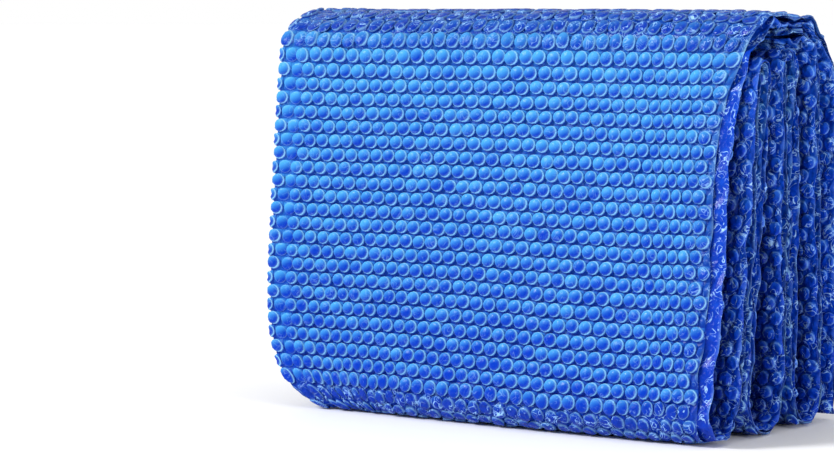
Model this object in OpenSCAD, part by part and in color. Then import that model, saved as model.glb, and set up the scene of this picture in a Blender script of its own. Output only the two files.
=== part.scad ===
// Bubble solar cover for a pool or spa, folded into a pack that stands on its bottom folds.
//
// X runs along the creases, -Y is the front, Z is up, and the origin is on the floor under
// the middle of the pack. The cover is first folded in half lengthwise, which leaves a fold
// at the -X end and two cut edges at the +X end, so it is two layers thick everywhere: the
// outer half and the inner half, with their bubbles facing away from each other. It is then
// pleated into leaves, and its last stretch is wrapped over the top and down the back.
//
// The pack is one run of the doubled cover in the YZ plane: straight leaves, tangent to the
// round folds that they turn over. A fold is [y, z, signed radius at the middle of the
// doubled cover]; the radius is positive where the run turns left.

/* [Cover] */
// Length of the pack along its creases
pack_w = 465; // [300:5:600]
// Thickness of one layer of the cover, film and bubbles together
layer_t = 5.8; // [4.5:0.1:6]
// Air gap between the films of the two halves
film_gap = 0.8; // [0.4:0.1:1]

/* [Wrap] */
// Height of the pack
pack_h = 345; // [335:1:370]
// Radius of the shoulder at the front
front_shoulder_r = 32; // [30:1:36]
// Position of the front shoulder's centre, front to back
front_shoulder_y = -6; // [-10:1:-2]
// Radius of the shoulder at the back
back_shoulder_r = 50; // [46:1:52]
// Position of the back shoulder's centre, front to back
back_shoulder_y = 58; // [54:1:60]

/* [Bottom folds] */
// Radius of bottom fold 1, between leaves 1 and 2
bottom_1_r = 23; // [20:1:23]
// Position of bottom fold 1, front to back
bottom_1_y = -85; // [-90:1:-85]
// Radius of bottom fold 2, between leaves 3 and 4
bottom_2_r = 29; // [26:1:31]
// Position of bottom fold 2, front to back
bottom_2_y = -14; // [-16:1:-14]
// Radius of bottom fold 3, between leaves 5 and 6
bottom_3_r = 24; // [20:1:24]
// Position of bottom fold 3, front to back
bottom_3_y = 58; // [57:1:60]
// Depth by which the weight of the pack flattens each bottom fold
flat_depth = 2.5; // [1:0.5:3.5]

/* [Top folds] */
// Radius of top fold 1, between leaves 2 and 3
top_1_r = 8.5; // [7:0.5:8.5]
// Position of top fold 1, front to back
top_1_y = -21; // [-21:1:-20]
// Height of the centre of top fold 1
top_1_z = 279; // [270:1:284]
// Radius of top fold 2, between leaves 4 and 5
top_2_r = 11; // [9:0.5:11]
// Position of top fold 2, front to back
top_2_y = 22; // [21:1:22]
// Height of the centre of top fold 2
top_2_z = 294; // [280:1:296]

/* [Loose ends] */
// Height of the lower end of leaf 7 above the floor
flap_gap = 5; // [4:1:30]
// Radius of the bend over which leaf 6 turns in below the top panel
tuck_r = 25; // [22:1:27]
// Position of that bend's centre, front to back
tuck_y = 44; // [42:1:46]
// Position of the tucked end's edge, front to back
tuck_end_y = 20; // [10:1:30]

/* [Hidden] */
$fn = 96;

outer_blue = [0.16, 0.55, 0.93];
inner_blue = [0.05, 0.24, 0.78];

// Half the thickness of the doubled cover, and the radius of the fold at the -X end
half_t = film_gap / 2 + layer_t;
// The two halves run between these, and the side fold reaches half_t beyond the first
side_x = -pack_w / 2 + half_t;
cut_x = pack_w / 2;
// Room between the top panel and the end tucked in below it
tuck_clear = 0.5;

function bottom_z(r) = r + half_t - flat_depth;
function top_z(r) = pack_h - half_t - r;

// Places along the run, from the lower end of leaf 7 to the tucked end. Each straight
// stretch and each fold is named after the place where it starts.
FLAP_END = 0;
BACK = 1;
FRONT = 2;
BOTTOM_1 = 3;
TOP_1 = 4;
BOTTOM_2 = 5;
TOP_2 = 6;
BOTTOM_3 = 7;
TUCK = 8;

tuck_z = pack_h - 3 * half_t - tuck_clear - tuck_r;
run = [
    [back_shoulder_y + back_shoulder_r, flap_gap, 0],
    [back_shoulder_y, top_z(back_shoulder_r), back_shoulder_r],
    [front_shoulder_y, top_z(front_shoulder_r), front_shoulder_r],
    [bottom_1_y, bottom_z(bottom_1_r), bottom_1_r],
    [top_1_y, top_1_z, -top_1_r],
    [bottom_2_y, bottom_z(bottom_2_r), bottom_2_r],
    [top_2_y, top_2_z, -top_2_r],
    [bottom_3_y, bottom_z(bottom_3_r), bottom_3_r],
    [tuck_y, tuck_z, tuck_r],
    [tuck_end_y, tuck_z + tuck_r, 0]
];

// Direction in which the run leaves place i, as an angle from +Y towards +Z
function heading(i) =
    let (step = run[i + 1] - run[i], reach = norm([step[0], step[1]]))
    atan2(step[1], step[0]) - asin(step[2] / reach);
// Unit vector to the left of that direction
function left_of(i) = [-sin(heading(i)), cos(heading(i))];
// Where the straight stretch after place i starts and ends
function leaves_at(i) = [run[i][0], run[i][1]] - run[i][2] * left_of(i);
function arrives_at(i) = [run[i + 1][0], run[i + 1][1]] - run[i + 1][2] * left_of(i);
// Angle through which the run turns at place i, from 0 to 360
function turn(i) =
    let (change = (heading(i) - heading(i - 1)) * sign(run[i][2]))
    (change + 720) % 360;

// The model is drawn with the run in the XY plane and its width along Z, then set upright
module upright() {
    rotate([90, 0, 90]) children();
}

module half_disc() {
    intersection() {
        circle(r = half_t);
        translate([0, -half_t]) square([half_t, 2 * half_t]);
    }
}

// Straight stretch after place i: one layer, and the side fold if it is the outer one.
// The outer half lies to the right of the run.
module straight(i, outer) {
    start = leaves_at(i);
    length = norm(arrives_at(i) - start);
    upright() translate([start[0], start[1], 0]) rotate([0, 0, heading(i)]) {
        translate([0, outer ? -half_t : film_gap / 2, side_x])
            cube([length, layer_t, cut_x - side_x]);
        if (outer) {
            translate([0, 0, side_x]) rotate([0, 90, 0]) linear_extrude(length) half_disc();
        }
    }
}

// Fold at place i: the same layer turned about the fold's centre
module fold(i, outer) {
    r = abs(run[i][2]);
    turns_left = run[i][2] > 0;
    nearer = outer != turns_left;
    // The radius that the run arrives at points away from the centre, to its right or left
    first = heading(i - 1) + (turns_left ? -90 : 90);
    begin = turns_left ? first : first - turn(i);
    upright() translate([run[i][0], run[i][1], 0]) rotate([0, 0, begin])
        rotate_extrude(angle = turn(i)) {
            translate([nearer ? r - half_t : r + film_gap / 2, side_x])
                square([layer_t, cut_x - side_x]);
            if (outer) translate([r, side_x]) rotate(-90) half_disc();
        }
}

// Bottom fold, pressed flat where it stands on the floor
module bottom_fold(i, outer) {
    r = abs(run[i][2]) + half_t;
    difference() {
        fold(i, outer);
        translate([-pack_w, run[i][0] - r, -r]) cube([2 * pack_w, 2 * r, r]);
    }
}

module leaf_1(outer) { color(outer ? outer_blue : inner_blue) straight(FRONT, outer); }
module leaf_2(outer) { color(outer ? outer_blue : inner_blue) straight(BOTTOM_1, outer); }
module leaf_3(outer) { color(outer ? outer_blue : inner_blue) straight(TOP_1, outer); }
module leaf_4(outer) { color(outer ? outer_blue : inner_blue) straight(BOTTOM_2, outer); }
module leaf_5(outer) { color(outer ? outer_blue : inner_blue) straight(TOP_2, outer); }
module leaf_6(outer) { color(outer ? outer_blue : inner_blue) straight(BOTTOM_3, outer); }
module leaf_7(outer) { color(outer ? outer_blue : inner_blue) straight(FLAP_END, outer); }
module top_panel(outer) { color(outer ? outer_blue : inner_blue) straight(BACK, outer); }
module tucked_end(outer) { color(outer ? outer_blue : inner_blue) straight(TUCK, outer); }
module top_fold_1(outer) { color(outer ? outer_blue : inner_blue) fold(TOP_1, outer); }
module top_fold_2(outer) { color(outer ? outer_blue : inner_blue) fold(TOP_2, outer); }
module bottom_fold_1(outer) { color(outer ? outer_blue : inner_blue) bottom_fold(BOTTOM_1, outer); }
module bottom_fold_2(outer) { color(outer ? outer_blue : inner_blue) bottom_fold(BOTTOM_2, outer); }
module bottom_fold_3(outer) { color(outer ? outer_blue : inner_blue) bottom_fold(BOTTOM_3, outer); }
module front_shoulder(outer) { color(outer ? outer_blue : inner_blue) fold(FRONT, outer); }
module back_shoulder(outer) { color(outer ? outer_blue : inner_blue) fold(BACK, outer); }
module tuck_bend(outer) { color(outer ? outer_blue : inner_blue) fold(TUCK, outer); }

leaf_1(true);  // leaf_1_outer
leaf_1(false);  // leaf_1_inner
leaf_2(true);  // leaf_2_outer
leaf_2(false);  // leaf_2_inner
leaf_3(true);  // leaf_3_outer
leaf_3(false);  // leaf_3_inner
leaf_4(true);  // leaf_4_outer
leaf_4(false);  // leaf_4_inner
leaf_5(true);  // leaf_5_outer
leaf_5(false);  // leaf_5_inner
leaf_6(true);  // leaf_6_outer
leaf_6(false);  // leaf_6_inner
leaf_7(true);  // leaf_7_outer
leaf_7(false);  // leaf_7_inner
top_panel(true);  // top_panel_outer
top_panel(false);  // top_panel_inner
tucked_end(true);  // tucked_end_outer
tucked_end(false);  // tucked_end_inner
top_fold_1(true);  // top_fold_1_outer
top_fold_1(false);  // top_fold_1_inner
top_fold_2(true);  // top_fold_2_outer
top_fold_2(false);  // top_fold_2_inner
bottom_fold_1(true);  // bottom_fold_1_outer
bottom_fold_1(false);  // bottom_fold_1_inner
bottom_fold_2(true);  // bottom_fold_2_outer
bottom_fold_2(false);  // bottom_fold_2_inner
bottom_fold_3(true);  // bottom_fold_3_outer
bottom_fold_3(false);  // bottom_fold_3_inner
front_shoulder(true);  // front_shoulder_outer
front_shoulder(false);  // front_shoulder_inner
back_shoulder(true);  // back_shoulder_outer
back_shoulder(false);  // back_shoulder_inner
tuck_bend(true);  // tuck_bend_outer
tuck_bend(false);  // tuck_bend_inner
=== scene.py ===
import math
import bpy
import numpy as np
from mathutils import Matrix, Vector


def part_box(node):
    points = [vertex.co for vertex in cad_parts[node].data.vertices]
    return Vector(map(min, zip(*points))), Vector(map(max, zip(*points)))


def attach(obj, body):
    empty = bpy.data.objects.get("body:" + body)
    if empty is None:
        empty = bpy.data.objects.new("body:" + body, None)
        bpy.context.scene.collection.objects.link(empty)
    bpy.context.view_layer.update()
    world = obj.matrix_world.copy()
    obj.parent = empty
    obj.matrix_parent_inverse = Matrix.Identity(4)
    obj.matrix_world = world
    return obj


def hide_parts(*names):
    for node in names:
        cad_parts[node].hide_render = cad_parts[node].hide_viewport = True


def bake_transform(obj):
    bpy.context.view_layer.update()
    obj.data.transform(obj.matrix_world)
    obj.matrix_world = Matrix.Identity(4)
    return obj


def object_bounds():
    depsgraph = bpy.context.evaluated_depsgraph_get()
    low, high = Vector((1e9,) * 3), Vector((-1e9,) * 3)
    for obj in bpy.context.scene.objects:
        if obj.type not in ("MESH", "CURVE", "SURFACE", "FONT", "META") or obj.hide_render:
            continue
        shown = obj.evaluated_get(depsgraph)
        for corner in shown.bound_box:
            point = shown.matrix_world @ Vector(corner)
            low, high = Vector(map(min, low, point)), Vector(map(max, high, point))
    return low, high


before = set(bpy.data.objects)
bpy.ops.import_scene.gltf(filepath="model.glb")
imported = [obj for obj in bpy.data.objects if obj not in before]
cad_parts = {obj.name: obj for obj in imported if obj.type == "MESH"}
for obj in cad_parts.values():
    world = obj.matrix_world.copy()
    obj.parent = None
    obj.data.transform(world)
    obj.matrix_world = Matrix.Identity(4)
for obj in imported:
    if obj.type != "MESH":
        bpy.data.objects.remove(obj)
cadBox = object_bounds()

# Folded bubble solar cover: camera, floor and light first, then the cover's stretches
# one after another along the run of the folded sheet, then their film.

# View, floor and light.
view = {
    "place": (1.41, -2.195, 0.353),
    "tilt": 85.7,        # degrees from straight down
    "turn": 35.0,        # degrees to the left of +Y
    "lens": 131.0,
    "farthest": 50,
}
studio = {
    "floorColour": (0.97, 0.97, 0.97, 1),
    "floorRoughness": 0.6,
    "floorSize": 80.0,
    "skyColour": (1.0, 1.0, 1.0, 1),
    "skyStrength": 0.70,
    "backdropColour": (1.0, 1.0, 1.0, 1),
    "sunStrength": 2.4,
    "sunFrom": (-0.55, -0.60, 0.62),
    "sunDistance": 10,
    "sunSoftness": 16.0,     # degrees
    "lamps": {
        "cornerLight": {"place": (-0.75, -0.95, 0.75), "power": 2.2, "size": 0.35},
        "endLight": {"place": (1.7, -0.55, 0.45), "power": 10.0, "size": 0.45},
    },
}


def addCamera():
    data = bpy.data.cameras.new("camera")
    data.lens = view["lens"]
    data.clip_end = view["farthest"]
    camera = bpy.data.objects.new("camera", data)
    camera.location = view["place"]
    camera.rotation_euler = (math.radians(view["tilt"]), 0, math.radians(view["turn"]))
    bpy.context.scene.collection.objects.link(camera)
    bpy.context.scene.camera = camera


def addLight(name, kind, place, strength, settings):
    data = bpy.data.lights.new(name, kind)
    data.energy = strength
    for setting, value in settings.items():
        setattr(data, setting, value)
    light = bpy.data.objects.new(name, data)
    light.location = place
    middle = (cadBox[0] + cadBox[1]) / 2
    light.rotation_mode = "QUATERNION"
    light.rotation_quaternion = (middle - light.location).to_track_quat("-Z", "Y")
    bpy.context.scene.collection.objects.link(light)


def addSky():
    # a white backdrop for the eye, and a softer light on the cover
    world = bpy.data.worlds.new("softLight")
    bpy.context.scene.world = world
    world.use_nodes = True
    nodes, links = world.node_tree.nodes, world.node_tree.links
    sky = nodes["Background"]
    sky.inputs["Color"].default_value = studio["skyColour"]
    sky.inputs["Strength"].default_value = studio["skyStrength"]
    backdrop = nodes.new("ShaderNodeBackground")
    backdrop.inputs["Color"].default_value = studio["backdropColour"]
    eye = nodes.new("ShaderNodeLightPath")
    either = nodes.new("ShaderNodeMixShader")
    links.new(eye.outputs["Is Camera Ray"], either.inputs["Fac"])
    links.new(sky.outputs["Background"], either.inputs[1])
    links.new(backdrop.outputs["Background"], either.inputs[2])
    links.new(either.outputs["Shader"], nodes["World Output"].inputs["Surface"])


def addStudio():
    bpy.ops.object.select_all(action="DESELECT")
    bpy.ops.mesh.primitive_plane_add(size=studio["floorSize"], location=(0, 0, 0))
    floor = bpy.context.object
    floor.name = "floor"
    paint = bpy.data.materials.new("paleFloor")
    paint.use_nodes = True
    shader = paint.node_tree.nodes["Principled BSDF"]
    shader.inputs["Base Color"].default_value = studio["floorColour"]
    shader.inputs["Roughness"].default_value = studio["floorRoughness"]
    floor.data.materials.append(paint)
    sunPlace = [studio["sunDistance"] * v for v in studio["sunFrom"]]
    softness = math.radians(studio["sunSoftness"])
    addLight("sun", "SUN", sunPlace, studio["sunStrength"], {"angle": softness})
    for name, lamp in studio["lamps"].items():
        addLight(name, "AREA", lamp["place"], lamp["power"], {"size": lamp["size"]})


bpy.context.scene.view_settings.view_transform = "Standard"
addCamera()
addSky()
addStudio()
print("camera, floor and light made")

# The run of the doubled cover. Millimetres in the sheet's own terms; metres only where a mesh is written.
mm = 1000.0
fold = {
    "halfThickness": 6.2,
    "flatDepth": 2.5,
    # radius of each fold at the middle of the doubled cover, positive where the run turns left
    "radius": {
        "back_shoulder": 50.0, "front_shoulder": 32.0, "bottom_fold_1": 23.0,
        "top_fold_1": -8.5, "bottom_fold_2": 29.0, "top_fold_2": -11.0,
        "bottom_fold_3": 24.0, "tuck_bend": 25.0,
    },
}
straights = ["leaf_7", "top_panel", "leaf_1", "leaf_2", "leaf_3", "leaf_4", "leaf_5", "leaf_6", "tucked_end"]
folds = list(fold["radius"])


def nodeBox(name):
    low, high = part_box(name)
    return [v * mm for v in low], [v * mm for v in high]


def foldCentre(name):
    # where the fold turns, worked out from the box of the CAD node on its outside
    radius = abs(fold["radius"][name])
    outside = name + ("_inner" if fold["radius"][name] < 0 else "_outer")
    low, high = nodeBox(outside)
    middle = (low[1] + high[1]) / 2
    top = high[2] - radius - fold["halfThickness"]
    if name.startswith("bottom"):
        return middle, radius + fold["halfThickness"] - fold["flatDepth"]
    if name.startswith("top"):
        return middle, top
    if name == "front_shoulder":
        return high[1], top
    return low[1], top


def runPlaces():
    flapLow, flapHigh = nodeBox("leaf_7_outer")
    flapInner = nodeBox("leaf_7_inner")[0]
    endLow, endHigh = nodeBox("tucked_end_outer")
    endInner = nodeBox("tucked_end_inner")[0]
    places = [((flapInner[1] + flapHigh[1]) / 2, flapLow[2], 0.0)]
    for name in folds:
        places.append((*foldCentre(name), fold["radius"][name]))
    places.append((endLow[1], (endInner[2] + endHigh[2]) / 2, 0.0))
    return places


def layRun(places):
    # the straights and arcs in order, each with its start, heading, length and radius
    headings = []
    for here, there in zip(places, places[1:]):
        stepY, stepZ = there[0] - here[0], there[1] - here[1]
        lean = math.asin((there[2] - here[2]) / math.hypot(stepY, stepZ))
        headings.append(math.atan2(stepZ, stepY) - lean)
    stretches = []
    travelled = 0.0
    for i, heading in enumerate(headings):
        here, there = places[i], places[i + 1]
        left = (-math.sin(heading), math.cos(heading))
        start = (here[0] - here[2] * left[0], here[1] - here[2] * left[1])
        end = (there[0] - there[2] * left[0], there[1] - there[2] * left[1])
        length = math.hypot(end[0] - start[0], end[1] - start[1])
        stretches.append({"name": straights[i], "start": start, "heading": heading,
                          "length": length, "radius": 0.0, "from": travelled})
        travelled += length
        if i + 1 < len(headings):
            sense = math.copysign(1, there[2])
            turn = ((headings[i + 1] - heading) * sense) % math.tau
            stretches.append({"name": folds[i], "start": end, "heading": heading,
                              "length": turn * abs(there[2]), "radius": there[2], "from": travelled})
            travelled += turn * abs(there[2])
    return stretches, travelled


stretches, coverLength = layRun(runPlaces())
stretchAt = {part["name"]: part for part in stretches}


def along(s):
    # middle line of the doubled cover at distance s: y, z and the unit vector to its left
    y, z, leftY, leftZ = (np.zeros_like(s) for _ in range(4))
    for number, part in enumerate(stretches):
        inside = s >= part["from"] if number else np.full(s.shape, True)
        d = s[inside] - part["from"]
        if part["radius"]:
            heading = part["heading"] + d / part["radius"]
            firstLeft = (-math.sin(part["heading"]), math.cos(part["heading"]))
            centreY = part["start"][0] + part["radius"] * firstLeft[0]
            centreZ = part["start"][1] + part["radius"] * firstLeft[1]
            y[inside] = centreY + part["radius"] * np.sin(heading)
            z[inside] = centreZ - part["radius"] * np.cos(heading)
        else:
            heading = np.full(d.shape, part["heading"])
            y[inside] = part["start"][0] + d * math.cos(part["heading"])
            z[inside] = part["start"][1] + d * math.sin(part["heading"])
        leftY[inside] = -np.sin(heading)
        leftZ[inside] = np.cos(heading)
    return y, z, leftY, leftZ


# The sheet across its width.
film = {
    "columns": 71,
    "rowSpacing": 12.43,     # nearly: a whole number of rows fits the cover's length
    "filmThickness": 0.5,
    "filmOffset": 0.9,       # bubble side of each half from the middle of the doubled cover
    "sideFoldRadius": 3.0,
    "sideFoldReach": 16.0,   # distance over which the halves part towards the side fold
    "bubbleRadiusAcross": 6.25,
    "bubbleRadiusAlong": 5.9,
    "bubbleHeight": 5.2,
    "tentHeight": 3.2,
    "unevenHeight": 0.07,
    "unevenPlace": 0.28,
    "wander": 0.9,           # slow drift of the rows and columns
    "wanderFade": 30,
    "wanderEndFade": 20,
}
cutEnd = cadBox[1][0] * mm
foldEnd = cadBox[0][0] * mm
sideBubble = fold["halfThickness"] - film["sideFoldRadius"]
foldX = foldEnd + film["sideFoldRadius"] + sideBubble
halfWidth = cutEnd - foldX
sideArc = math.pi * film["sideFoldRadius"]
coverWidth = 2 * halfWidth + sideArc
columnPitch = coverWidth / film["columns"]
rowPitch = coverLength / round(coverLength / film["rowSpacing"])
# the outer half takes the columns up to here, in quarter columns, and the inner half the rest
splitColumn = 4 * round((halfWidth + sideArc) / columnPitch)


# uneven waves: their size in each of the two directions, in millimetres, and their seed
waves = {
    "columnDrift": (48, 60, 3),
    "rowDrift": (70, 90, 4),
    "surface": (55, 45, 5),
    "edge": (7, 200, 6),
    "slowEdge": (23, 200, 7),
    "flare": (14, 30, 8),
    "lip": (6, 300, 9),
    "crumple": (8, 11, 11),
    "smallCrumple": (4, 6, 12),
    "paintedEdgeHighlight": (9, 1, 13),
}
waveMix = {"count": 5, "shortest": 0.6, "longest": 1.5, "evenOut": 3.2}


def ripple(name, a, b):
    # smooth uneven waves between about -1 and 1
    sizeA, sizeB, seed = waves[name]
    a, b = a / sizeA, b / sizeB
    draw = np.random.default_rng(seed)
    total = np.zeros_like(a)
    for _ in range(waveMix["count"]):
        angle, phase = draw.uniform(0, math.tau, 2)
        stretch = draw.uniform(waveMix["shortest"], waveMix["longest"])
        total += np.sin((a * math.cos(angle) + b * math.sin(angle)) * stretch + phase)
    return total / waveMix["evenOut"]


def ease(t):
    t = np.clip(t, 0, 1)
    return t * t * (3 - 2 * t)


def acrossSheet(u):
    # x, offset from the middle, and the outward direction, at width u from the outer cut edge
    angle = np.clip((u - halfWidth) / film["sideFoldRadius"], 0, math.pi)
    outerX = cutEnd - np.minimum(u, halfWidth)
    innerX = foldX + np.maximum(u - halfWidth - sideArc, 0)
    x = np.where(u < halfWidth, outerX, innerX) - film["sideFoldRadius"] * np.sin(angle)
    toFold = np.minimum(np.abs(u - halfWidth), np.abs(u - halfWidth - sideArc))
    nearFold = ease(1 - toFold / film["sideFoldReach"])
    onArc = (angle > 0) & (angle < math.pi)
    nearFold = np.where(onArc, 1, nearFold)
    reach = film["filmOffset"] + (film["sideFoldRadius"] - film["filmOffset"]) * nearFold
    return x, -reach * np.cos(angle), -np.sin(angle), -np.cos(angle), nearFold


slack = {
    "leanForward": 22.0,      # the front shoulder bellies forward at the side fold by this
    "leanBack": 17.0,         # and the foot of the front leaf is drawn back by this
    "leanEnds": 120,          # x at which the lean has died out
    "forwardPower": 1.3,
    "backPower": 1.5,
    "cornerTuck": 64.0,       # how far the bottom corner of the side fold is tucked in
    "cornerHeight": 30.0,
    "cornerReach": 165,
    "setBack": 12.0,          # the outer half's cut edge stops short on the front leaf
    "setBackReach": 90,
    "setBackFade": 40,
    "edgeDraw": 11.0,         # and both halves draw back below the shoulder
    "edgeDrawReach": 200,
    "edgeDrawStart": -40,     # from the top of the front leaf
    "edgeDrawFull": 100,
    "edgeDrawHolds": 70,      # and then it fades
    "edgeDrawFade": 170,
    "topPuff": 5.5,           # the wrap stands proud over the top
    "topPuffFade": 60,
    "topPuffPast": 30,
    "looseReach": 60,         # the cut edges waver over this width
    "edgeWave": 1.2,
    "slowWaveShare": 0.6,
    "surfaceWave": 0.5,
    "softGround": 2.2,
    # how far the outer and the inner half stand apart at the cut end of each stretch
    "flare": {"leaf_1": (0.0, 0.5), "leaf_2": (8.0, 1.0), "leaf_3": (8.0, 2.0), "leaf_4": (9.0, 2.0),
              "leaf_5": (9.0, 6.0), "leaf_6": (2.0, 7.0), "leaf_7": (0.5, 1.0), "tucked_end": (6.0, 3.0),
              "top_panel": (-4.0, 12.0), "front_shoulder": (-1.5, 12.0), "back_shoulder": (0.0, 3.0)},
    "flareReach": 62.0,
    "flareEven": 0.75,
    "flareUneven": 0.35,
    "frontLip": 0.7,          # the lip of film past the last bubbles curls by this on the front leaf
    "lip": 1.6,               # and by this elsewhere
    "lipReach": 14,
    "crumple": 2.6,           # creases pressed into the film along its cut edges
    "crumpleReach": 55,
    "smallCrumpleShare": 0.6,
    "frontCrumpleShare": 0.15,
    "frontEdgeStart": -12,    # from the top of the front leaf
    "topRise": {"top_fold_1": 18.0, "top_fold_2": 9.0},    # how far each stands up at its cut end
    "riseFull": 20,           # from the middle of the fold
    "riseFade": 120,
    "riseReach": 110,
    "backDroop": 13.0,        # the back shoulder sags at its cut end
    "droopShare": 0.7,        # of it in each of y and z
    "droopPast": 30,
    "droopFrom": 60,          # x at which the sag starts
}
shoulderStart = stretchAt["front_shoulder"]["from"]
leafStart = stretchAt["leaf_1"]["from"]
leafEnd = leafStart + stretchAt["leaf_1"]["length"]
turnEnd = stretchAt["leaf_2"]["from"]


def frontLean(s, x):
    # the front leaf twists: upright at the side fold, sloping at the cut edges
    toFold = ease((slack["leanEnds"] - x) / (slack["leanEnds"] - foldEnd))
    down = np.clip((s - leafStart) / (leafEnd - leafStart), 0, 1)
    forward = slack["leanForward"] * (1 - down) ** slack["forwardPower"]
    swing = -forward + slack["leanBack"] * down ** slack["backPower"]
    swing = swing * ease((s - shoulderStart) / (leafStart - shoulderStart))
    swing = swing * (1 - ease((s - leafEnd) / (turnEnd - leafEnd)))
    return swing * toFold


def flareOut(s, x, outer):
    # the two halves part near the cut end, between one crease and the next
    apart = np.zeros_like(s)
    for name, (outerFlare, innerFlare) in slack["flare"].items():
        part = stretchAt[name]
        t = np.clip((s - part["from"]) / part["length"], 0, 1)
        apart += np.where(outer, outerFlare, innerFlare) * np.sqrt(np.sin(math.pi * t))
    reach = ease((x - cutEnd + slack["flareReach"]) / slack["flareReach"])
    return apart * reach * (slack["flareEven"] + slack["flareUneven"] * ripple("flare", s, x))


def topRise(s, x):
    # the top folds stand up a little at the cut end
    rise = np.zeros_like(s)
    for name, height in slack["topRise"].items():
        part = stretchAt[name]
        away = np.abs(s - part["from"] - part["length"] / 2)
        rise += height * ease(1 - (away - slack["riseFull"]) / slack["riseFade"])
    return rise * ease((x - cutEnd + slack["riseReach"]) / slack["riseReach"])


def backDroop(s, x):
    part = stretchAt["back_shoulder"]
    t = np.clip((s - part["from"] + slack["droopPast"]) / (part["length"] + 2 * slack["droopPast"]), 0, 1)
    droop = slack["backDroop"] * np.sin(math.pi * t) ** 2
    return droop * ease((x - slack["droopFrom"]) / (cutEnd - slack["droopFrom"]))


def softGround(z):
    # bubbles under the pack are pressed flat on the ground
    k = slack["softGround"]
    return np.where(z < k, k * np.exp((z - k) / k), z)


def drifted(u, s, edge):
    # the rows and columns wander a little, but not at the cover's four edges
    across = film["wander"] * ease(edge / film["wanderFade"])
    fade = film["wanderEndFade"]
    u = u + across * ripple("columnDrift", u, s)
    ends = ease(s / fade) * ease((coverLength - s) / fade)
    s = s + film["wander"] * ripple("rowDrift", u, s) * ends
    return u, s


def edgeShape(u, s, edge):
    # how far the film near a cut edge stands off its plain surface
    onFront = (s > leafStart + slack["frontEdgeStart"]) & (s < leafEnd) & (u < halfWidth)
    curl = np.where(onFront, slack["frontLip"], slack["lip"])
    lip = curl * ease(1 - edge / slack["lipReach"]) * ripple("lip", s, u)
    smallShare = slack["smallCrumpleShare"]
    creases = np.abs(ripple("crumple", s, u)) + smallShare * np.abs(ripple("smallCrumple", s, u)) - smallShare
    pressed = slack["crumple"] * creases * ease(1 - edge / slack["crumpleReach"])
    return lip + pressed * np.where(onFront, slack["frontCrumpleShare"], 1)


def drawnBack(u, s, edge):
    # cut edges waver, and they draw back towards the foot of the front leaf
    wave = ripple("edge", s, u) + slack["slowWaveShare"] * ripple("slowEdge", s, u)
    wavering = ease(1 - edge / slack["looseReach"]) * slack["edgeWave"] * (1 + wave)
    fromTop = s - leafStart
    below = ease((fromTop - slack["edgeDrawStart"]) / slack["edgeDrawFull"])
    draw = slack["edgeDraw"] * below * (1 - ease((fromTop - slack["edgeDrawHolds"]) / slack["edgeDrawFade"]))
    both = draw * ease(1 - edge / slack["edgeDrawReach"])
    atFoot = ease((turnEnd - s) / slack["setBackFade"])
    outerOnly = slack["setBack"] * below * atFoot * ease(1 - u / slack["setBackReach"])
    return wavering, both, outerOnly


def place(u, s, h):
    # a point of the sheet at width u, length s and height h over the film, in millimetres
    edge = np.minimum(u, coverWidth - u)
    u, s = drifted(u, s, edge)
    x, n, outX, outN, nearFold = acrossSheet(u)
    roomy = 1 - nearFold * (1 - sideBubble / film["bubbleHeight"])
    h = np.where(h > 0, h * roomy, h)
    y, z, leftY, leftZ = along(s)
    side = np.where(outN < 0, -1, 1)
    wave = slack["surfaceWave"] * ripple("surface", x, s)
    n = n + h * outN + wave + side * flareOut(s, x, outN < 0) + edgeShape(u, s, edge)
    x = x + h * outX
    for shift in drawnBack(u, s, edge):
        x = x - shift
    droop = slack["droopShare"] * backDroop(s, x)
    y = y + n * leftY + frontLean(s, x) - droop
    fade = slack["topPuffFade"]
    fromBack = ease((s - stretchAt["back_shoulder"]["from"]) / fade)
    toFront = ease((leafStart + slack["topPuffPast"] - s) / fade)
    rise = topRise(s, x) + slack["topPuff"] * (fromBack * toFront)
    z = softGround(z + n * leftZ - droop + rise)
    # the side fold's bottom corners are tucked in, so they are round
    tuck = slack["cornerTuck"] * np.exp(-z / slack["cornerHeight"])
    x = x + tuck * ease(1 - (x - foldEnd) / slack["cornerReach"])
    return x, y, z


# One stretch of bubble film. Its grid has four columns and two rows to a bubble's cell.
dome = {
    # rings from the foot of a bubble to its crown: share of its radius, share of its height, painted ring
    # highlight
    "rings": [(1.0, 0.0, 0.05), (0.95, 0.58, 1.0), (0.86, 0.82, 0.22), (0.60, 0.97, 0.0)],
    "sides": 12,             # as many as cellOutline has places
    "unevenSize": 0.015,
    "mostSunken": 0.7,
    "lean": 0.3,
    "outOfRound": 0.012,
    # how much more each of these is on a crushed bubble
    "crushedUneven": 0.3,
    "crushedSunken": 0.25,
    "crushedLean": 0.9,
    "crushedOutOfRound": 0.055,
    "sideBandPlace": 14,     # from the middle of the side fold
    "sideBandHalf": 6.5,
    "sideBandHeight": 0.25,
    "sideBandPaintedHighlight": 0.45,
    "lowestTent": 0.4,
    "highestTent": 1.2,
}
crushPlace = {
    "topBefore": 40,         # over this much before the top panel
    "topFade": 40,
    "topEndsBefore": 22,     # before the top of the front leaf
    "topEndFade": 30,
    "footStart": 1,          # below the foot of the front leaf
    "footFade": 13,
    "footEndFade": 30,
    "frontEdge": 0.35,
    "edgeFull": 1.25,
    "frontEdgeReach": 30,
    "edgeReach": 85,
}
# painted light and shade on the film: lighter high up and darker near the ground, the upper side of each
# bubble painted lighter than its lower side, painted shade inside the pack, and a painted highlight along the
# cut edges
paintedLight = {
    "brightest": 0.62,       # at the top of the pack
    "heightPower": 0.8,
    "uneven": 0.12,
    "crushedLoss": 0.3,
    "shading": 0.75,         # between the upper and the lower side of a bubble
    "endwise": 0.45,         # the part of it that runs across the cover
    "insideStart": 15,       # below the start of leaf_2, on the outer half
    "insideFrom": 4,         # from the cut edge
    "insideFade": 16,
    "paintedEdgeHighlight": 0.35,
    "paintedEdgeHighlightUneven": 0.5,
}
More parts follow.
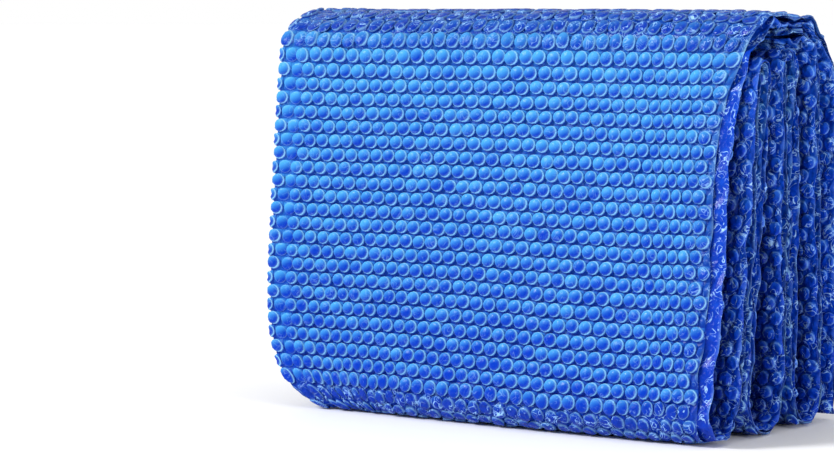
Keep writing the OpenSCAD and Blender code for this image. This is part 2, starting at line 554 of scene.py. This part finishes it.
lifted = {
    "bubble": 0.8,
    "flatBubble": 0.6,
    "creasedWeb": 0.5,
    # how far a bubble shows through the flat side, at the grid's four columns
    "through": [0.0, 0.45, 0.9, 0.45],
}
ringCount = len(dome["rings"])
domePoints = ringCount * dome["sides"] + 1
gridColumns = 4 * film["columns"] + 1


def crushed(u, s):
    # how crinkled the bubbles are, from 0 to 1: over the top, at the foot of the front leaf and at the ends
    fromPanel = s - stretchAt["top_panel"]["from"] + crushPlace["topBefore"]
    toLeaf = s - leafStart + crushPlace["topEndsBefore"]
    overTop = ease(fromPanel / crushPlace["topFade"]) * (1 - ease(toLeaf / crushPlace["topEndFade"]))
    belowLeaf = ease((s - leafEnd - crushPlace["footStart"]) / crushPlace["footFade"])
    atFoot = belowLeaf * (1 - ease((s - turnEnd) / crushPlace["footEndFade"]))
    onFront = (s > leafStart) & (s < leafEnd) & (u < halfWidth)
    edge = np.minimum(u, coverWidth - u)
    reach = np.where(onFront, crushPlace["frontEdgeReach"], crushPlace["edgeReach"])
    atEnds = np.where(onFront, crushPlace["frontEdge"], 1.0) * ease(crushPlace["edgeFull"] - edge / reach)
    return np.maximum(np.maximum(overTop, atFoot), atEnds)


def inSideBand(u):
    # beside the side fold the film is pulled smooth and its bubbles are nearly flat
    middle = halfWidth + sideArc / 2
    return np.abs(np.abs(u - middle) - dome["sideBandPlace"]) < dome["sideBandHalf"]


def shutInPaintedShade(s, outer):
    # painted shade: 1 on the stretches that lie shut between others, where little light comes through
    first = stretchAt["leaf_2"]["from"] + paintedLight["insideStart"] if outer else leafStart
    last = stretchAt["leaf_6"]["from"] if outer else stretchAt["tuck_bend"]["from"]
    return ((s > first) & (s < last)).astype(float)


def paintedLightByHeight(s):
    # painted light: the film is painted lighter high up and darker near the ground
    height = np.maximum(along(s)[1], 0) / (cadBox[1][2] * mm)
    return paintedLight["brightest"] * height ** paintedLight["heightPower"]


def fallAt(s):
    # 1 where the run goes straight down, -1 where it goes straight up
    return (along(s - 1)[1] - along(s + 1)[1]) / 2


def cellOutline(j):
    # grid places round a cell that starts at column 0, from the middle of its +u side, once round
    top = [(4 - k, j + 2) for k in range(5)]
    bottom = [(k, j) for k in range(5)]
    return [(4, j + 1), *top, (0, j + 1), *bottom]


def gridQuads(columns, j):
    corner = j * gridColumns + columns
    return np.stack([corner, corner + 1, corner + gridColumns + 1, corner + gridColumns], 1)


def rimWalls(top, back):
    # a narrow wall closes the film wherever a top edge has a face on one side only
    edges = np.stack([top, np.roll(top, -1, 1)], 2).reshape(-1, 2)
    key = np.sort(edges, 1)
    _, index, times = np.unique(key, axis=0, return_index=True, return_counts=True)
    border = edges[index[times == 1]]
    return np.stack([border[:, 1], border[:, 0], border[:, 0] + back, border[:, 1] + back], 1)


def cellStarts(row, outer):
    # the first grid column of each whole cell; every other row is set over by half a cell
    if row % 2:
        starts = np.arange(2, gridColumns - 4, 4)
    else:
        starts = np.arange(0, gridColumns - 1, 4)
    return starts[starts < splitColumn] if outer else starts[starts >= splitColumn]


def bubblePoints(row, starts, draw):
    # one row of bubbles, ring by ring from the foot and then the crown: width, length, height and marks
    n = len(starts)
    sides = dome["sides"]
    angles = np.arange(sides) * math.tau / sides
    middleU = (starts + 2) * columnPitch / 4 + draw.normal(0, film["unevenPlace"], n)
    middleS = (row + 0.5) * rowPitch + draw.normal(0, film["unevenPlace"], n)
    crush = crushed(middleU, middleS)
    size = 1 + draw.normal(0, dome["unevenSize"], n)
    uneven = film["unevenHeight"] + dome["crushedUneven"] * crush
    sunken = np.minimum(np.abs(draw.normal(0, uneven)), dome["mostSunken"])
    height = film["bubbleHeight"] * (1 - sunken) * (1 - dome["crushedSunken"] * crush)
    height = height * np.where(inSideBand(middleU), dome["sideBandHeight"], 1.0)
    # the painted ring highlight is fainter on the flattened bubbles beside the side fold
    paintedHighlightShare = np.where(inSideBand(middleU), dome["sideBandPaintedHighlight"], 1.0)
    fall = fallAt(middleS)
    # painted light of each bubble: lighter high up, varied at random, darker where crushed
    shade = paintedLightByHeight(middleS) + draw.normal(0, paintedLight["uneven"], n) - paintedLight["crushedLoss"] * crush
    leanU = draw.normal(0, dome["lean"] + dome["crushedLean"] * crush)
    leanS = draw.normal(0, dome["lean"] + dome["crushedLean"] * crush)
    outOfRound = dome["outOfRound"] + dome["crushedOutOfRound"] * crush[:, None]
    # painted shading: the side of each bubble towards the top of the run is painted lighter and the lower
    # side darker
    paintedLitSide = fall[:, None] * np.sin(angles) - paintedLight["endwise"] * np.cos(angles)
    points = []
    for share, rise, paintedHighlight in dome["rings"]:
        rough = 1 + draw.normal(0, 1, (n, sides)) * outOfRound
        across = film["bubbleRadiusAcross"] * share * size[:, None] * rough
        ahead = film["bubbleRadiusAlong"] * share * size[:, None] * rough
        ringU = middleU[:, None] + across * np.cos(angles) + leanU[:, None] * rise
        ringS = middleS[:, None] + ahead * np.sin(angles) + leanS[:, None] * rise
        ringH = np.repeat(rise * height[:, None], sides, 1)
        # the painted highlight round each bubble's wall
        ringPaintedHighlight = np.repeat(paintedHighlight * paintedHighlightShare[:, None], sides, 1)
        ringPaintedLight = np.clip(shade[:, None] - paintedLight["shading"] * share * paintedLitSide, 0, 1)
        points.append((ringU, ringS, ringH, ringPaintedHighlight, ringPaintedLight))
    crown = (middleU + leanU, middleS + leanS, height, np.zeros(n), shade)
    points.append([values[:, None] for values in crown])
    columns = [np.hstack(values).ravel() for values in zip(*points)]
    return [*columns, np.repeat(crush, domePoints)]


def bubbleFaces(starts, j, firstPoint):
    # web from the cell's outline to the bubble's foot, then ring to ring, then the crown
    sides = dome["sides"]
    base = firstPoint + np.arange(len(starts)) * domePoints
    outline = np.array(cellOutline(j))
    border = outline[:, 1] * gridColumns + outline[:, 0] + starts[:, None]
    rings = [border] + [base[:, None] + sides * r + np.arange(sides) for r in range(ringCount)]
    faces = []
    for lower, upper in zip(rings, rings[1:]):
        around = np.stack([lower, np.roll(lower, -1, 1), np.roll(upper, -1, 1), upper], 2)
        faces.append(around.reshape(-1, 4))
    last = rings[-1]
    crown = np.repeat(base[:, None] + domePoints - 1, sides // 2, 1)
    second, third = np.roll(last, -1, 1)[:, 0::2], np.roll(last, -2, 1)[:, 0::2]
    faces.append(np.stack([last[:, 0::2], second, third, crown], 2).reshape(-1, 4))
    return faces


def markFilm(mesh, u, s, h, paintedHighlight, paintedLightLevel, crease, used, back, line, column, outer):
    # on the mesh: the painted highlight of the rings and cut edges, the painted light and shade of each
    # bubble and of the web, how raised it is, how creased, and the painted shade inside the pack
    raised = np.where(h > 0, lifted["bubble"], lifted["creasedWeb"] * crease)
    smooth = np.where(inSideBand(u), lifted["flatBubble"], raised)
    # the bubbles show faintly through the flat side
    off = (column + 2 * (line // 2 % 2)) % 4
    through = np.where(line % 2 == 1, np.array(lifted["through"])[off], 0)
    grid = np.concatenate([smooth[:back], through])
    lift = np.where(used < 2 * back, grid[np.minimum(used, 2 * back - 1)], 1)
    edge = np.minimum(u, coverWidth - u)
    # painted shade deep inside the pack, fading in from the cut edges
    paintedInsideShade = shutInPaintedShade(s, outer) * ease((edge - paintedLight["insideFrom"]) / paintedLight["insideFade"])
    marks = {"paintedHighlight": paintedHighlight[used], "paintedLight": paintedLightLevel[used], "lift": lift, "crease": crease[used], "paintedInsideShade": paintedInsideShade[used]}
    for mark, values in marks.items():
        mesh.attributes.new(mark, "FLOAT", "POINT").data.foreach_set("value", values.astype(np.float32))


def buildFilm(name, firstRow, lastRow, outer, seed):
    draw = np.random.default_rng(seed)
    gridRows = 2 * (lastRow - firstRow) + 1
    back = gridRows * gridColumns
    gridU = np.tile(np.arange(gridColumns) * columnPitch / 4, gridRows)
    gridS = np.repeat(np.arange(gridRows) * rowPitch / 2 + firstRow * rowPitch, gridColumns)
    # half bubbles at the cut edges have collapsed into small tents
    column = np.round(gridU / columnPitch * 4).astype(int)
    line = np.round(gridS / rowPitch * 2).astype(int)
    tent = (line % 4 == 3) & ((column == 1) | (column == gridColumns - 2))
    tentSize = draw.uniform(dome["lowestTent"], dome["highestTent"], back)
    raised = np.where(tent, film["tentHeight"] * tentSize, 0)
    atEdge = (column == 0) | (column == gridColumns - 1)
    # a painted highlight along the cut edges, uneven along them
    paintedEdgeLight = np.clip(paintedLight["paintedEdgeHighlight"] + paintedLight["paintedEdgeHighlightUneven"] * ripple("paintedEdgeHighlight", gridS, gridU), 0, 1)
    paintedHighlight = atEdge * paintedEdgeLight
    # painted light on the web and the flat side: lighter high up
    paintedLightLevel = paintedLightByHeight(gridS)
    crease = crushed(gridU, gridS)
    # the bubble side of the sheet, its flat side, and then the bubbles row by row
    points = [(gridU, gridS, raised, paintedHighlight, paintedLightLevel, crease),
              (gridU, gridS, np.full(back, -film["filmThickness"]), paintedHighlight, paintedLightLevel, crease)]
    topFaces = []
    backFaces = []
    count = 2 * back
    for row in range(firstRow, lastRow):
        j = 2 * (row - firstRow)
        starts = cellStarts(row, outer)
        points.append(bubblePoints(row, starts, draw))
        topFaces += bubbleFaces(starts, j, count)
        count += len(starts) * domePoints
        # the flat backing film, and the cut half cells at the ends of every other row
        quarters = (starts[:, None] + np.arange(4)).ravel()
        if row % 2:
            halves = np.array([0, 1]) if outer else np.array([gridColumns - 3, gridColumns - 2])
            quarters = np.concatenate([quarters, halves])
            topFaces += [gridQuads(halves, jj) for jj in (j, j + 1)]
        backFaces += [gridQuads(quarters, jj)[:, ::-1] + back for jj in (j, j + 1)]
    top = np.vstack(topFaces)
    faces = np.vstack([top, *backFaces, rimWalls(top, back)])
    u, s, h, paintedHighlight, paintedLightLevel, crease = (np.concatenate(values) for values in zip(*points))
    used, faces = np.unique(faces, return_inverse=True)
    faces = faces.reshape(-1, 4)
    x, y, z = place(u[used], s[used], h[used])
    mesh = bpy.data.meshes.new(name)
    mesh.from_pydata(np.stack([x, y, z], 1) / mm, [], faces)
    markFilm(mesh, u, s, h, paintedHighlight, paintedLightLevel, crease, used, back, line, column, outer)
    mesh.update()
    piece = bpy.data.objects.new(name, mesh)
    bpy.context.scene.collection.objects.link(piece)
    return piece


# The film's material.
# colours for each half, in order: the web in painted light and in painted shade, painted shade inside the
# pack, a bubble's lower side in painted shade and its upper side in painted light, the painted ring
# highlight, the painted highlight lines, and crushed film in painted shade; then the film's roughness
finish = {
    "outer_half": {
        "web": (0.002, 0.062, 0.36, 1),
        "paintedShadeWeb": (0.0003, 0.004, 0.16, 1),
        "inside": (0.0006, 0.004, 0.11, 1),
        "lower": (0.001, 0.034, 0.42, 1),
        "upper": (0.056, 0.330, 0.70, 1),
        "ring": (0.370, 0.760, 0.98, 1),
        "paintedStrokeHighlight": (0.340, 0.620, 1.00, 1),
        "creaseAndPaintedShade": (0.0006, 0.026, 0.32, 1),
        "roughness": 0.24,
    },
    "inner_half": {
        "web": (0.003, 0.060, 0.50, 1),
        "paintedShadeWeb": (0.0005, 0.006, 0.24, 1),
        "inside": (0.0006, 0.004, 0.11, 1),
        "lower": (0.002, 0.035, 0.55, 1),
        "upper": (0.035, 0.230, 0.80, 1),
        "ring": (0.300, 0.620, 1.00, 1),
        "paintedStrokeHighlight": (0.360, 0.620, 1.00, 1),
        "creaseAndPaintedShade": (0.001, 0.040, 0.44, 1),
        "roughness": 0.24,
    },
}
wear = {
    "crinkleScale": 190.0,
    "squiggleScale": 125.0,
    "squiggleWidth": 0.035,
    "dustScale": 110.0,
    "detail": 1,
    "dustDetail": 4,
    "plainCrinkle": 0.25,     # share of the full crinkle on smooth bubbles
    "plainSquiggle": 0.18,
    "crinkleDepth": 0.0014,
    "swirl": 1.2,
    "strokeBreak": 0.44,      # dust value under which a stroke is broken
    "strokeSharpness": 7.0,
    "ringSharpness": 1.7,
    "ringLossCreased": 0.6,
    "creasePaintedShadeShare": 0.65,
    "creasedSquiggle": 0.9,
    "paintedInsideShadeShare": 0.75,
    "ior": 1.45,
    "specular": 0.06,
    "coat": 0.02,
    "creasedCoat": 0.08,
    "coatRoughness": 0.08,
    "dustFrom": 0.35,
    "dustTo": 0.75,
    "cleaner": 0.08,          # below and above the film's roughness, at those two dust values
    "duller": 0.12,
}


def filmGroup():
    # crinkles of the thin film, the painted highlight lines along them and faint dust, shared by both halves
    group = bpy.data.node_groups.new("filmSurface", "ShaderNodeTree")
    for name in ("Crinkle Scale", "Squiggle Scale", "Squiggle Width", "Dust Scale"):
        group.interface.new_socket(name, in_out="INPUT", socket_type="NodeSocketFloat")
    for name in ("Crinkle", "Squiggle", "Dust"):
        group.interface.new_socket(name, in_out="OUTPUT", socket_type="NodeSocketFloat")
    nodes, links = group.nodes, group.links
    source = nodes.new("NodeGroupInput")
    result = nodes.new("NodeGroupOutput")
    where = nodes.new("ShaderNodeTexCoord")
    bend = nodes.new("ShaderNodeTexNoise")
    bend.inputs["Detail"].default_value = wear["detail"]
    facets = nodes.new("ShaderNodeTexVoronoi")
    facets.feature = "F1"
    swirl = nodes.new("ShaderNodeTexNoise")
    swirl.inputs["Detail"].default_value = wear["detail"]
    swirl.inputs["Distortion"].default_value = wear["swirl"]
    dust = nodes.new("ShaderNodeTexNoise")
    dust.inputs["Detail"].default_value = wear["dustDetail"]
    for pattern in (bend, facets, swirl, dust):
        links.new(where.outputs["Object"], pattern.inputs["Vector"])
    links.new(source.outputs["Crinkle Scale"], bend.inputs["Scale"])
    links.new(source.outputs["Crinkle Scale"], facets.inputs["Scale"])
    links.new(source.outputs["Squiggle Scale"], swirl.inputs["Scale"])
    links.new(source.outputs["Dust Scale"], dust.inputs["Scale"])
    mixed = doMaths(nodes, links, "ADD", bend.outputs["Fac"], facets.outputs["Distance"])
    # a thin painted highlight line wherever the swirling noise crosses its middle value
    off = doMaths(nodes, links, "SUBTRACT", swirl.outputs["Fac"], 0.5)
    off = doMaths(nodes, links, "ABSOLUTE", off, 0.0)
    off = doMaths(nodes, links, "DIVIDE", off, source.outputs["Squiggle Width"])
    line = doMaths(nodes, links, "SUBTRACT", 1.0, off)
    line = doMaths(nodes, links, "MAXIMUM", line, 0.0)
    # broken into strokes by the dust noise
    gap = doMaths(nodes, links, "SUBTRACT", dust.outputs["Fac"], wear["strokeBreak"])
    gap = doMaths(nodes, links, "MULTIPLY", gap, wear["strokeSharpness"])
    gap = doMaths(nodes, links, "MINIMUM", doMaths(nodes, links, "MAXIMUM", gap, 0.0), 1.0)
    line = doMaths(nodes, links, "MULTIPLY", line, gap)
    links.new(mixed, result.inputs["Crinkle"])
    links.new(line, result.inputs["Squiggle"])
    links.new(dust.outputs["Fac"], result.inputs["Dust"])
    return group


def readAttribute(nodes, name):
    node = nodes.new("ShaderNodeAttribute")
    node.attribute_name = name
    return node.outputs["Fac"]


def mixColour(nodes, links, share, first, second):
    mix = nodes.new("ShaderNodeMix")
    mix.data_type = "RGBA"
    links.new(share, mix.inputs["Factor"])
    for socket, value in (("A", first), ("B", second)):
        if isinstance(value, tuple):
            mix.inputs[socket].default_value = value
        else:
            links.new(value, mix.inputs[socket])
    return mix.outputs["Result"]


def doMaths(nodes, links, operation, first, second):
    node = nodes.new("ShaderNodeMath")
    node.operation = operation
    for i, value in enumerate((first, second)):
        if isinstance(value, float):
            node.inputs[i].default_value = value
        else:
            links.new(value, node.inputs[i])
    return node.outputs["Value"]


def filmMaterial(slot, group):
    look = finish[slot]
    material = bpy.data.materials.new("blueBubbleFilm_" + slot)
    material.use_nodes = True
    nodes, links = material.node_tree.nodes, material.node_tree.links
    shader = nodes["Principled BSDF"]
    shader.inputs["IOR"].default_value = wear["ior"]
    shader.inputs["Specular IOR Level"].default_value = wear["specular"]
    shader.inputs["Coat Roughness"].default_value = wear["coatRoughness"]
    surface = nodes.new("ShaderNodeGroup")
    surface.node_tree = group
    surface.inputs["Crinkle Scale"].default_value = wear["crinkleScale"]
    surface.inputs["Squiggle Scale"].default_value = wear["squiggleScale"]
    surface.inputs["Squiggle Width"].default_value = wear["squiggleWidth"]
    surface.inputs["Dust Scale"].default_value = wear["dustScale"]
    # web painted darker near the ground, then the bubble from its lower half in painted shade to its upper
    # half in painted light, then the painted ring highlight
    bubble = mixColour(nodes, links, readAttribute(nodes, "paintedLight"), look["lower"], look["upper"])
    web = mixColour(nodes, links, readAttribute(nodes, "paintedLight"), look["paintedShadeWeb"], look["web"])
    bubble = mixColour(nodes, links, readAttribute(nodes, "lift"), web, bubble)
    creaseAndPaintedShade = readAttribute(nodes, "crease")
    # crushed film is painted darker, as painted shade
    darker = doMaths(nodes, links, "MULTIPLY", creaseAndPaintedShade, wear["creasePaintedShadeShare"])
    bubble = mixColour(nodes, links, darker, bubble, look["creaseAndPaintedShade"])
    # the painted ring and edge highlight, fainter on crushed film
    ring = doMaths(nodes, links, "POWER", readAttribute(nodes, "paintedHighlight"), wear["ringSharpness"])
    loss = doMaths(nodes, links, "MULTIPLY", creaseAndPaintedShade, wear["ringLossCreased"])
    fainter = doMaths(nodes, links, "SUBTRACT", 1.0, loss)
    ring = doMaths(nodes, links, "MULTIPLY", ring, fainter)
    gloss = doMaths(nodes, links, "MULTIPLY", creaseAndPaintedShade, wear["creasedCoat"])
    links.new(doMaths(nodes, links, "ADD", gloss, wear["coat"]), shader.inputs["Coat Weight"])
    # painted highlight lines, stronger on crushed film
    line = doMaths(nodes, links, "MULTIPLY", creaseAndPaintedShade, wear["creasedSquiggle"])
    line = doMaths(nodes, links, "ADD", line, wear["plainSquiggle"])
    line = doMaths(nodes, links, "MULTIPLY", line, surface.outputs["Squiggle"])
    colour = mixColour(nodes, links, ring, bubble, look["ring"])
    colour = mixColour(nodes, links, line, colour, look["paintedStrokeHighlight"])
    # painted shade deep inside the pack
    inside = doMaths(nodes, links, "MULTIPLY", readAttribute(nodes, "paintedInsideShade"), wear["paintedInsideShadeShare"])
    colour = mixColour(nodes, links, inside, colour, look["inside"])
    links.new(colour, shader.inputs["Base Color"])
    dull = nodes.new("ShaderNodeMapRange")
    dull.inputs["From Min"].default_value = wear["dustFrom"]
    dull.inputs["From Max"].default_value = wear["dustTo"]
    dull.inputs["To Min"].default_value = look["roughness"] - wear["cleaner"]
    dull.inputs["To Max"].default_value = look["roughness"] + wear["duller"]
    links.new(surface.outputs["Dust"], dull.inputs["Value"])
    links.new(dull.outputs["Result"], shader.inputs["Roughness"])
    crease = doMaths(nodes, links, "ADD", creaseAndPaintedShade, wear["plainCrinkle"])
    height = doMaths(nodes, links, "MULTIPLY", surface.outputs["Crinkle"], crease)
    bump = nodes.new("ShaderNodeBump")
    bump.inputs["Strength"].default_value = 1.0
    bump.inputs["Distance"].default_value = wear["crinkleDepth"]
    links.new(height, bump.inputs["Height"])
    links.new(bump.outputs["Normal"], shader.inputs["Normal"])
    return material


surfaceGroup = filmGroup()
materials = {slot: filmMaterial(slot, surfaceGroup) for slot in finish}
print("film materials made")

# The stretches, each half in its own piece.
bodyOf = {"top_panel": "top_panel", "leaf_7": "back_flap"}
crossing = {
    "front_shoulder": ("front_stack", "top_panel"),
    "back_shoulder": ("top_panel", "back_flap"),
}
joining = {"smoothAngle": 65, "firstSeed": 100, "blendMargin": 0.12}


def stretchRows(part):
    first = round(part["from"] / rowPitch)
    last = round((part["from"] + part["length"]) / rowPitch)
    return first, last


def creasePoint(part, share):
    y, z, _, _ = along(np.array([part["from"] + share * part["length"]]))
    return (0, y[0] / mm, z[0] / mm)


for number, part in enumerate(stretches):
    name = part["name"]
    first, last = stretchRows(part)
    for outer in (True, False):
        slot = "outer_half" if outer else "inner_half"
        half = "_outer" if outer else "_inner"
        seed = joining["firstSeed"] + 2 * number + outer
        piece = buildFilm(name + half + "_film", first, last, outer, seed)
        piece.data.materials.append(materials[slot])
        bpy.ops.object.select_all(action="DESELECT")
        piece.select_set(True)
        bpy.context.view_layer.objects.active = piece
        bpy.ops.object.shade_smooth_by_angle(angle=math.radians(joining["smoothAngle"]))
        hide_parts(name + half)
        if name in crossing:
            # the run goes from the back flap to the front stack, so the first body is met last
            start = creasePoint(part, 1 - joining["blendMargin"])
            end = creasePoint(part, joining["blendMargin"])
            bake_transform(piece)
        else:
            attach(piece, bodyOf.get(name, "front_stack"))
    print(name, "made,", last - first, "rows")
